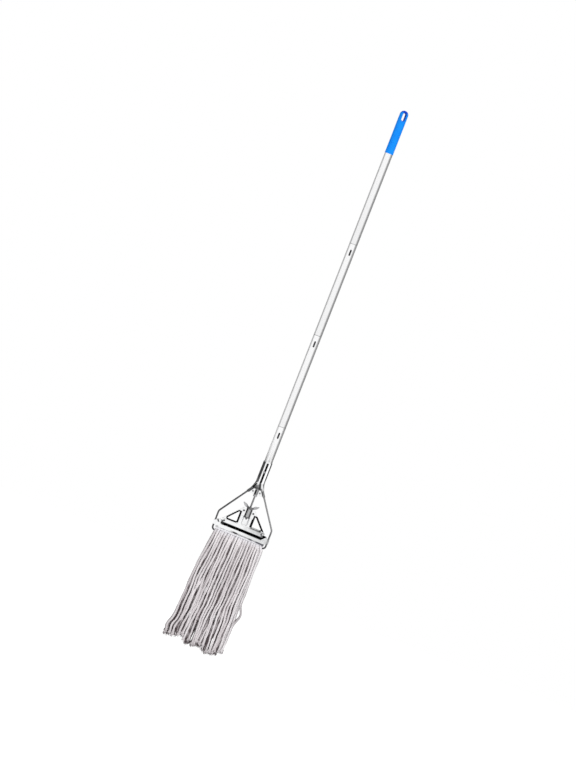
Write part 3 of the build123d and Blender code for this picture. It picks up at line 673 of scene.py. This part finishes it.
def jaw_finish(place):
    """Bright plate: painted shade in the recess between the lip and the front face, with a pale,
    unpolished left end.

    The painted shade runs a little askew, lower at the right, where the front face's top is painted dark
    too.
    Painted shade also lies on the lip's top, along the flange's lower edge, where the right ear wraps
    the wire, and faintly at the right.
    """
    x, y, z = axes(place)
    rise = z - JAW_END
    level = rise + LIP_TILT * x
    steep = rise + RECESS_TILT * x
    # Painted shade from here on: the recess, its notch, the front face's top, the left mark, the ear,
    # the right side and the lip.
    face = abs(y).ramp(FACE_DEPTH - 0.0006, FACE_DEPTH - 0.0001)
    foot = level.ramp(SHOULDER_TOP + 0.0014, SHOULDER_TOP + 0.0006)
    recess = abs(y).ramp(0.0025, 0.0030).most(foot) * (1.0 - face)
    recess = recess * steep.ramp(FLANGE_TOP - 0.0005, FLANGE_TOP - 0.0001) * abs(x).ramp(0.0770, 0.0765)
    pale = recess * x.ramp(-0.0640, -0.0660)
    thin = x.ramp(0.052, 0.056) * x.ramp(0.0650, 0.0630) * rise.ramp(0.0145, 0.0159)
    recess = recess * (0.85 * x.ramp(-0.0660, -0.0620) + 0.15 * x.ramp(-0.06, -0.01) - 0.5 * thin)
    notch = (x + 0.7 * rise).within(-0.0608, 0.0020, 0.0032)
    notch = notch * rise.ramp(0.0137, 0.0147) * rise.ramp(0.0242, 0.0232)
    face_top_shade = face * steep.ramp(FLANGE_TOP - 0.0005, FLANGE_TOP + 0.0003)
    face_top_shade = face_top_shade * x.ramp(-0.01, 0.02) * x.ramp(0.064, 0.061)
    mark = x.within(-0.0705, 0.0015, 0.0040) * rise.ramp(0.0039, 0.0027)
    wrap = x.ramp(0.0785, 0.0800) * x.ramp(0.0858, 0.0848) * (0.55 + 0.25 * rise.ramp(0.0127, 0.0207))
    right_shade = x.ramp(0.010, 0.060) * rise.ramp(0.0157, 0.0147)
    lip = 0.55 * level.ramp(LIP_TOP - 0.0024, LIP_TOP - 0.0012) * abs(x).ramp(0.017, 0.021)
    lip = lip + 0.20 * x.ramp(0.0, 0.045) * rise.ramp(0.0167, 0.0177)
    painted_dark = recess.most(0.9 * notch, 0.85 * face_top_shade, 0.5 * mark, flange_shadow_line(x, rise))
    return bright_plate(place, painted_dark.most(wrap, 0.13 * right_shade, lip), pale)


def strap_finish(place):
    """Bright plate: an unpolished half sleeve between the bright tabs, with painted dark reflections,
    darker at the right and black down both sides and at its end.
    """
    x, _, z = axes(place)
    sleeve = abs(x).ramp(0.0097, 0.0093)
    # Painted dark reflections on the sleeve: grey, darker at the right, black down both sides and at its
    # end.
    darkening = 0.16 + 0.46 * x.ramp(-0.003, 0.002)
    black = abs(x).ramp(0.0040, 0.0048) * abs(x).ramp(0.0084, 0.0076)
    rim = z.ramp(STRAP_END + 0.0020, STRAP_END + 0.0008)
    return bright_plate(place, sleeve * darkening.most(black, 0.75 * rim), 0.4 * sleeve)


dress(finish("plate_nickel", {}, plate_finish), "jaw_plate")
dress(finish("jaw_nickel", {}, jaw_finish), "front_jaw", "rear_jaw")
dress(finish("strap_nickel", {}, strap_finish), "nut_strap")
dress(dark_grey_steel, "jaw_rivets", "strap_rivets")


# Headband: a strip of woven cotton tape, folded over the yarn and the bar inside the jaw, with its
# two hems hanging just below the flanges. A row of lock stitches runs along each hem.
SIDES = ((-1, "front"), (1, "back"))
BAND_WIDTH = 0.150
BAND_HEM = -1.3030
BAND_HALF = 0.0104
BAND_SHOULDER = -1.2879
BAND_RIDGE = -1.2815
BAND_RIDGE_HALF = 0.0008
TAPE_THICKNESS = 0.0010
TAPE_THREAD = 0.0006
TAPE_RIPPLE = 0.00012
RIPPLE_RUNS = (1 / 410, 1 / 970)
HEM_WAVE = 0.00035
HEM_WAVE_RUN = 1 / 260
STITCH_LENGTH = 0.0034
STITCH_PITCH = 0.0045
STITCH_RADIUS = 0.00042
STITCH_LEVEL = -1.3002
STITCH_DIP = 0.0003
STITCH_ROWS = 7
STITCH_COLUMNS = 6


def folded_tape(rows, columns):
    """Tape over the bar: a tent profile in Y and Z, by length, carried along X with a wavy hem."""
    y = np.array([-BAND_HALF, -BAND_HALF, -BAND_RIDGE_HALF, BAND_RIDGE_HALF, BAND_HALF, BAND_HALF])
    z = np.array([BAND_HEM, BAND_SHOULDER, BAND_RIDGE, BAND_RIDGE, BAND_SHOULDER, BAND_HEM])
    run = np.concatenate([[0], np.cumsum(np.hypot(np.diff(y), np.diff(z)))])
    along = np.linspace(0, run[-1], columns)
    x = np.linspace(-BAND_WIDTH / 2, BAND_WIDTH / 2, rows)[:, None]
    profile_y = np.interp(along, run, y)[None, :]
    profile_z = np.interp(along, run, z)[None, :]
    side = np.sign(profile_y)
    low = np.clip((BAND_SHOULDER - profile_z) / (BAND_SHOULDER - BAND_HEM), 0, 1)
    ripple = np.sin(x / RIPPLE_RUNS[0] + 3 * side) + 0.6 * np.sin(x / RIPPLE_RUNS[1] + 1.0)
    wavy_y = profile_y + side * TAPE_RIPPLE * low * ripple
    wavy_z = profile_z + HEM_WAVE * low**3 * np.sin(x / HEM_WAVE_RUN + 2 * side)
    return np.stack([x + 0 * profile_y, wavy_y, wavy_z], axis=-1)


def woven_tape(place):
    """Plain weave of the tape: warp along X and weft across, by the sines of x and z.

    The jaw's flange casts a painted shadow line on the tape at its edge, and the wire a painted shadow
    mark at the right end.
    """
    x, _, z = axes(place)
    rise = z - JAW_END
    pitch = math.pi / TAPE_THREAD
    weave = x.math("SINE", x * pitch) * x.math("SINE", z * pitch)
    cloud = noise(place, 160.0)
    tone = 0.5 + 0.25 * weave + 0.4 * (cloud - 0.5)
    unshaded = tone.tint(rgb(0.78, 0.77, 0.80), rgb(0.93, 0.92, 0.95))
    # Painted shadow: a line along the flange's edge and a mark by the wire at the right end.
    mark = 0.85 * x.ramp(0.0675, 0.0700)
    dark = rise.ramp(0.0019, 0.0009) * mark.most(flange_shadow_line(x, rise))
    return {
        "Base Color": dark.tint(unshaded, rgb(0.09, 0.09, 0.11)),
        "Normal": bump(place, weave, 0.00012),
    }


band = grid_mesh("headband_tape", folded_tape(rows=150, columns=60))
band.data.polygons.foreach_set("use_smooth", np.ones(len(band.data.polygons), bool))
thick = band.modifiers.new("tape", "SOLIDIFY")
thick.thickness = TAPE_THICKNESS
thick.offset = 0.0
cotton_cloth = {"Roughness": 0.9, "Sheen Weight": 0.2, "Specular IOR Level": 0.2}
tape_cotton = finish("tape_cotton", cotton_cloth, woven_tape)
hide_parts("headband")
fit(band, tape_cotton)


def skin(name, rings, lengths):
    """Mesh of many tubes at once, from rings[tube, row, column].

    Rows are joined to the next row and round the columns, and the two end rows close on their
    middles. The map called lay holds the share of the way round and the length along the tube.
    """
    tubes, rows, columns, _ = rings.shape
    ids = np.arange(tubes * rows * columns).reshape(tubes, rows, columns)
    beside = np.roll(ids, -1, axis=2)
    quads = np.stack([ids[:, :-1], beside[:, :-1], beside[:, 1:], ids[:, 1:]], axis=-1).reshape(-1, 4)
    middles = rings[:, [0, -1]].mean(axis=2)
    tips = ids.size + np.arange(2 * tubes).reshape(tubes, 2, 1) + np.zeros(columns, int)
    top = np.stack([tips[:, 0], beside[:, 0], ids[:, 0]], axis=-1)
    end = np.stack([tips[:, 1], ids[:, -1], beside[:, -1]], axis=-1)
    fans = np.concatenate([top.reshape(-1, 3), end.reshape(-1, 3)])
    points = np.concatenate([rings.reshape(-1, 3), middles.reshape(-1, 3)])
    round_share = np.broadcast_to(np.arange(columns) / columns, ids.shape)
    length = np.broadcast_to(lengths[:, :, None], ids.shape)
    lay = np.stack([round_share, length], axis=-1).reshape(-1, 2)
    lay = np.concatenate([lay, np.stack([np.zeros(2 * tubes), lengths[:, [0, -1]].ravel()], axis=-1)])
    corner = np.concatenate([quads.ravel(), fans.ravel()])
    lay = lay[corner]
    last = np.broadcast_to(np.arange(columns) == columns - 1, (tubes, rows - 1, columns)).ravel()
    wraps = np.zeros((len(quads), 4), bool)
    wraps[last, 1:3] = True
    lay[: quads.size, 0][wraps.ravel()] = 1.0
    mesh = bpy.data.meshes.new(name)
    mesh.vertices.add(len(points))
    mesh.vertices.foreach_set("co", points.astype(np.float32).ravel())
    mesh.loops.add(len(corner))
    mesh.loops.foreach_set("vertex_index", corner.astype(np.int32))
    starts = np.concatenate([4 * np.arange(len(quads)), quads.size + 3 * np.arange(len(fans))])
    mesh.polygons.add(len(starts))
    mesh.polygons.foreach_set("loop_start", starts.astype(np.int32))
    mesh.polygons.foreach_set("use_smooth", np.ones(len(starts), bool))
    mesh.update(calc_edges=True)
    mesh.uv_layers.new(name="lay").data.foreach_set("uv", lay.astype(np.float32).ravel())
    made = bpy.data.objects.new(name, mesh)
    bpy.context.scene.collection.objects.link(made)
    return made


def even_turns(shape):
    """Angles of points that are spread evenly round each ring; the last size is the points in one."""
    return np.broadcast_to(np.arange(shape[-1]) * 2 * np.pi / shape[-1], shape)


def sweep_rings(centre, radius, angle, flat=1.0):
    """Rings round centre lines: radius[tube, row, column] at angle, squeezed in depth by flat.

    The ring's first axis is square to the line and to Y, and its second is square to both.
    """
    along = np.gradient(centre, axis=1)
    along /= np.linalg.norm(along, axis=-1, keepdims=True)
    first = np.cross(along, (0.0, 1.0, 0.0))
    first /= np.linalg.norm(first, axis=-1, keepdims=True)
    second = np.cross(along, first)
    wide = (radius * np.cos(angle))[..., None] * first[:, :, None]
    deep = (radius * np.sin(angle) * flat)[..., None] * second[:, :, None]
    return centre[:, :, None] + wide + deep


def hem_stitches(side):
    """Row of stitches on one hem: short arcs along X that dip into the tape at both ends."""
    count = int(BAND_WIDTH / STITCH_PITCH) - 1
    middle = (np.arange(count) - (count - 1) / 2) * STITCH_PITCH
    share = np.linspace(-1, 1, STITCH_ROWS)
    x = middle[:, None] + share * STITCH_LENGTH / 2
    y = side * (BAND_HALF + TAPE_THICKNESS / 2 + STITCH_DIP * (1 - 2 * share**2)) + 0 * x
    z = STITCH_LEVEL + STITCH_DIP * share + 0 * x
    radius = np.full((count, STITCH_ROWS, STITCH_COLUMNS), STITCH_RADIUS)
    rings = sweep_rings(np.stack([x, y, z], axis=-1), radius, even_turns(radius.shape))
    return rings, np.broadcast_to(share, (count, STITCH_ROWS))


for side, word in SIDES:
    row = skin(f"hem_stitches_{word}", *hem_stitches(side))
    fit(row, tape_cotton)


# Yarn: layers of four-ply cotton strands, three on each side of the bar, sewn flat under the tape.
# Below it they swell to round ropes, fall in loose clumps that flare and lean to the left, and end
# in cut plies that untwist into tufts. The cut line, by place along the bar, is uneven.
YARN_TOP = -1.2990
YARN_WIDTH = 0.1414
YARN_MIDDLE = 0.0019
FRINGE = 0.343
FRINGE_FLARE = 0.20
FRINGE_SWEEP = 0.014
STRAND_RADIUS = 0.0031
STRAND_ROWS = 200
PLIES = 4
LAY_PITCH = 0.021
LAYERS = ((19, 0.0084, 0.0157), (18, 0.0060, 0.0097), (19, 0.0036, 0.0040))
STRAND_GAPS = LAYERS[0][0] - 1
CUT_PLACE = (-0.50, -0.40, -0.28, -0.22, -0.15, -0.09, 0.06, 0.12, 0.21, 0.40, 0.44, 0.50)
CUT_LENGTH = (0.330, 0.328, 0.322, 0.319, 0.331, 0.337, 0.327, 0.331, 0.339, 0.337, 0.324, 0.327)
CUT_SCATTER = (-0.007, 0.004)
PLACE_SCATTER = (-0.15, 0.15)
LEFT_BULGES = ((0.0035, 0.38, 0.17), (0.0080, 0.905, 0.06))
WIRE_TUCK = 0.005
WIRE_TUCK_DROP = (0.020, 0.008)
DRIFT = 0.0009
DRIFT_RUN = 0.022
SWAY_STEP = 0.35
SWAY_SCATTER = (-0.5, 0.5)
SWAY_BY_DEPTH = 400.0
SWAY = ((0.0015, 0.0340, 1.0), (0.0007, 0.0125, 1.7), (0.0003, 0.0046, 3.1))
CLUMP_WIDTH = 0.024
CLUMP_DRAW = 0.0011
CLUMP_RUN = 0.08
CLUMP_WANDER = 1.6
CLUMP_BY_DEPTH = 300.0
SPLAY = (-0.006, 0.006)
CROSSING_SHARE = 0.10
CROSSING_REACH = (-0.010, 0.010)
CROSSING_LIFT = 0.0032
DEPTH_STEP = 0.0004
DEPTH_SWAY = 0.0015
DEPTH_RUN = 0.031
SPREAD_DROP = 0.036
SWELL_DROP = 0.06
NARROW_DROP = (0.02, 0.09)
TAPE_FLAT = 0.34
TAPE_WIDE = 1.17
STRAND_SIZES = (0.92, 1.06)
STRAND_SWELL = 0.05
STRAND_SWELL_RUN = 0.017
STRAY_REACH = 0.012
STRAY_DROP = 0.215
STRAY_HALF = 0.022
PLY_SIDE = 0.26
PLY_VALLEY = 0.76
PLY_FILL = (0.46, 0.46, 0.46, 0.4968, 0.552, 0.5888, 0.552, 0.368)
PLY_ROWS = len(PLY_FILL)
PLY_COLUMNS = 7
PLY_OVERLAP = 0.003
PLY_REACH = (0.004, 0.012)
PLY_SPREAD = (0.0006, 0.0040)
PLY_OFFSET = 0.56
PLY_UNTWIST = 1.1
PLY_DEPTH = 0.7
WISPS = 8
WISP_ROWS = 4
WISP_COLUMNS = 3
WISP_RADIUS = 0.00022
WISP_LENGTH = (0.003, 0.008)
WISP_SCATTER = 0.0008
WISP_CURL = 0.0018
WISP_LEAN = 0.5
WISP_DEPTH = 0.4
draw = np.random.default_rng(13)


def ease(value, start, stop):
    """Smooth step from 0 at start to 1 at stop, steady beyond; start may be the greater."""
    share = np.clip((value - start) / (stop - start), 0, 1)
    return share * share * (3 - 2 * share)


def hump(value, middle, half):
    """Bell curve: 1 at the middle, and 1 / e at half to either side."""
    return np.exp(-(((value - middle) / half) ** 2))


def hang(side, count, tuck, depth):
    """Centre lines of one layer of strands, and the length along each.

    A strand keeps its place p along the bar, x = p w (1 + flare f^0.6) - sweep f^0.9 at a share f of
    the fall. It drifts, sways in long and short waves that grow as it falls, clumps with its
    neighbours and splays at the end. The second layer hangs in the gaps of the first. A few strands
    cross over in front, and every second one lies a little deeper. The outer ones at the right pass
    behind the wire's bend, and those at the left stand out half-way and at the end.
    """
    index = np.arange(count)[:, None]
    place = (index - (count - 1) / 2 + draw.uniform(*PLACE_SCATTER, (count, 1))) / STRAND_GAPS
    length = np.interp(place, CUT_PLACE, CUT_LENGTH) + draw.uniform(*CUT_SCATTER, (count, 1))
    drop = length * np.linspace(0, 1, STRAND_ROWS)
    fall = drop / FRINGE
    inner = ease(np.abs(place), 0.50, 0.35)
    slack = ease(fall, 0.02, 0.62) * (0.45 + 0.55 * inner)
    x = YARN_MIDDLE + place * YARN_WIDTH * (1 + FRINGE_FLARE * fall**0.6) - FRINGE_SWEEP * fall**0.9
    for reach, level, half in LEFT_BULGES:
        x -= reach * hump(fall, level, half) * ease(place, -0.20, -0.50)
    x -= WIRE_TUCK * ease(place, 0.36, 0.46) * ease(drop, *WIRE_TUCK_DROP)
    drift = draw.uniform(0, 2 * np.pi, (count, 1))
    x += ease(fall, 0.0, 0.12) * DRIFT * np.sin(drop / DRIFT_RUN + drift)
    phase = SWAY_STEP * index + draw.uniform(*SWAY_SCATTER, (count, 1)) + SWAY_BY_DEPTH * depth
    for reach, run, turn in SWAY:
        x += slack * reach * np.sin(drop / run + turn * phase)
    clump = 2 * np.pi * place * YARN_WIDTH / CLUMP_WIDTH + side + CLUMP_BY_DEPTH * depth
    clump = np.sin(clump + CLUMP_WANDER * np.sin(drop / CLUMP_RUN + 5 * place))
    x += ease(fall, 0.10, 0.60) * CLUMP_DRAW * clump
    x += inner * draw.uniform(*SPLAY, (count, 1)) * ease(fall, 0.58, 1.0)
    crosses = draw.random((count, 1)) < CROSSING_SHARE
    x += crosses * inner * draw.uniform(*CROSSING_REACH, (count, 1)) * ease(fall, 0.30, 0.85)
    out = tuck + (depth + DEPTH_STEP * np.cos(np.pi * index) - tuck) * ease(drop, 0.0, SPREAD_DROP)
    out = out + slack * DEPTH_SWAY * np.sin(drop / DEPTH_RUN + 3.1 * phase)
    out = out + crosses * CROSSING_LIFT * ease(fall, 0.25, 0.50)
    return np.stack([x, side * out, YARN_TOP - drop], axis=-1), drop


def ply_outline():
    """Four round plies side by side: three points a ply, the valley between two and both sides."""
    lobe = np.repeat(np.arange(PLIES), 3) * 2 * np.pi / PLIES
    angle = lobe + np.tile([-np.pi / PLIES, -PLY_SIDE, PLY_SIDE], PLIES)
    return angle, np.tile([PLY_VALLEY, 1.0, 1.0], PLIES)


def rope(centre, drop):
    """Twisted ropes on centre lines: flat and wide under the tape, round and fuller below it."""
    count = len(drop)
    angle, reach = ply_outline()
    size = STRAND_RADIUS * draw.uniform(*STRAND_SIZES, (count, 1, 1))
    first = draw.uniform(0, 2 * np.pi, (count, 1))
    twist = first - 2 * np.pi * drop / LAY_PITCH
    swell = 1 + STRAND_SWELL * np.sin(drop / STRAND_SWELL_RUN + 9 * first)
    flat = TAPE_FLAT + (1 - TAPE_FLAT) * ease(drop, 0.0, SWELL_DROP)
    narrow = draw.uniform(*NARROW_DROP, (count, 1))
    wide = TAPE_WIDE + (1 - TAPE_WIDE) * ease(drop, 0.0, narrow)
    radius = reach * size * (swell * wide)[..., None]
    rings = sweep_rings(centre, radius, angle + twist[..., None], (flat / wide)[..., None])
    return rings, twist[:, -1], size[:, 0, 0]


def frayed_plies(last, twist, size):
    """Cut ends: each ply leaves its rope along the lay, spreads a little, fills out and stops blunt."""
    count = len(twist)
    steps = np.linspace(0, 1, PLY_ROWS)
    lobe = twist[:, None] + np.arange(PLIES) * 2 * np.pi / PLIES
    reach = draw.uniform(*PLY_REACH, (count, PLIES, 1))
    spread = draw.uniform(*PLY_SPREAD, (count, PLIES, 1))
    away = lobe[..., None] - PLY_UNTWIST * steps
    out = PLY_OFFSET * size[:, None, None] + spread * steps**1.5
    x = last[:, 0, None, None] + out * np.cos(away)
    y = last[:, 1, None, None] - PLY_DEPTH * out * np.sin(away)
    z = last[:, 2, None, None] + PLY_OVERLAP - (reach + PLY_OVERLAP) * steps
    centre = np.stack([x, y, z], axis=-1).reshape(count * PLIES, PLY_ROWS, 3)
    thick = np.repeat(size, PLIES)[:, None, None] * np.array(PLY_FILL)[:, None] * np.ones(PLY_COLUMNS)
    return centre, sweep_rings(centre, thick, even_turns(thick.shape))


def wisps(centre):
    """Loose fibres at the cut: short thin curls that leave the last part of each ply."""
    count = len(centre) * WISPS
    row = draw.integers(PLY_ROWS // 2, PLY_ROWS, count)
    base = centre[np.repeat(np.arange(len(centre)), WISPS), row]
    base = base + draw.normal(0, WISP_SCATTER, (count, 3))
    steps = np.linspace(0, 1, WISP_ROWS)[None, :, None]
    lean = draw.normal(0, WISP_LEAN, (count, 1, 3))
    lean[..., 1] *= WISP_DEPTH
    lean[..., 2] = -1.0
    curl = draw.normal(0, WISP_CURL, (count, 1, 3))
    length = draw.uniform(*WISP_LENGTH, (count, 1, 1))
    line = base[:, None] + steps * length * lean + steps**2 * curl
    thick = WISP_RADIUS * (1.1 - steps) * np.ones((count, WISP_ROWS, WISP_COLUMNS))
    return line, sweep_rings(line, thick, even_turns(thick.shape))


def cotton(place):
    """Twisted cotton: fibres drawn along the lay, off-white with greyer strands, greyer towards the
    ends.

    Painted shade darkens the strands behind, most in upright pits. Painted shade greys the left edge and
    painted light whitens the right, but for the stray strand, which is darker. fall is the distance
    below the yarn's top.
    """
    lay = place.node("UVMap", {"uv_map": "lay"}, {})
    fibre = noise(lay, 1.0, 3.0, (60.0, 420.0, 1.0))
    strand = noise(place, 110.0, 2.0, (1.0, 1.0, 0.06))
    pit = noise(place, 110.0, 1.0, (1.0, 1.0, 0.30)).ramp(0.45, 0.55)
    x, y, z = axes(place)
    fall = YARN_TOP - z
    unshaded = fall.ramp(0.017, 0.003)
    # Painted shade greys the left edge, and painted light whitens the right edge two lines on.
    left = (x + 0.089 * fall).ramp(-0.0631, -0.0721)
    pale = strand.ramp(0.35, 0.65).tint(rgb(0.68, 0.635, 0.65), rgb(0.90, 0.86, 0.875))
    pale = (0.7 * x.ramp(0.056, 0.070)).tint(pale, rgb(0.95, 0.925, 0.94))
    pale = unshaded.tint(pale, rgb(0.84, 0.825, 0.86))
    # Painted shade: strands behind the front layer are coloured darker, most in pits.
    behind = (abs(y) - 0.0076 * fall.ramp(0.003, SPREAD_DROP)).ramp(0.0080, 0.0049) * (1.0 - unshaded)
    behind = behind * (1.0 - 0.85 * x.ramp(0.061, 0.066)) * (1.0 - 0.8 * left)
    slit_shade = behind * (0.42 + 0.68 * pit) * (1.0 - 0.22 * fall.ramp(0.321, 0.141))
    edges = 0.22 * left + 0.45 * x.ramp(0.0755, 0.0775)
    ends = 0.05 * fall.ramp(0.201, 0.301) + 0.22 * fall.ramp(0.313, 0.349)
    shade = 0.24 * fibre.ramp(0.62, 0.3) + edges + ends + slit_shade
    return {
        "Base Color": shade.ramp(0.0, 1.0).tint(pale, rgb(0.115, 0.087, 0.092)),
        "Normal": bump(place, fibre, 0.0004),
    }


soft_yarn = {"Roughness": 0.95, "Sheen Weight": 0.15, "Specular IOR Level": 0.1}
yarn_cotton = finish("yarn_cotton", soft_yarn, cotton)
yarn_pieces = []
for side, word in SIDES:
    ends = []
    for number, (count, tuck, depth) in enumerate(LAYERS, 1):
        centre, drop = hang(side, count, tuck, depth)
        if number == 1:
            centre[-1, :, 0] += STRAY_REACH * hump(drop[-1], STRAY_DROP, STRAY_HALF)
        rings, twist, size = rope(centre, drop)
        yarn_pieces.append(skin(f"yarn_{word}_layer_{number}", rings, drop))
        ends.append(frayed_plies(centre[:, -1], twist, size))
    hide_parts(f"yarn_{word}")
    ply_lines = np.concatenate([line for line, _ in ends])
    ply_rings = np.concatenate([rings for _, rings in ends])
    yarn_pieces.append(skin(f"yarn_{word}_cut_plies", ply_rings, -ply_lines[..., 2]))
    wisp_lines, wisp_rings = wisps(ply_lines)
    yarn_pieces.append(skin(f"yarn_{word}_wisps", wisp_rings, -wisp_lines[..., 2]))
for piece in yarn_pieces:
    fit(piece, yarn_cotton)
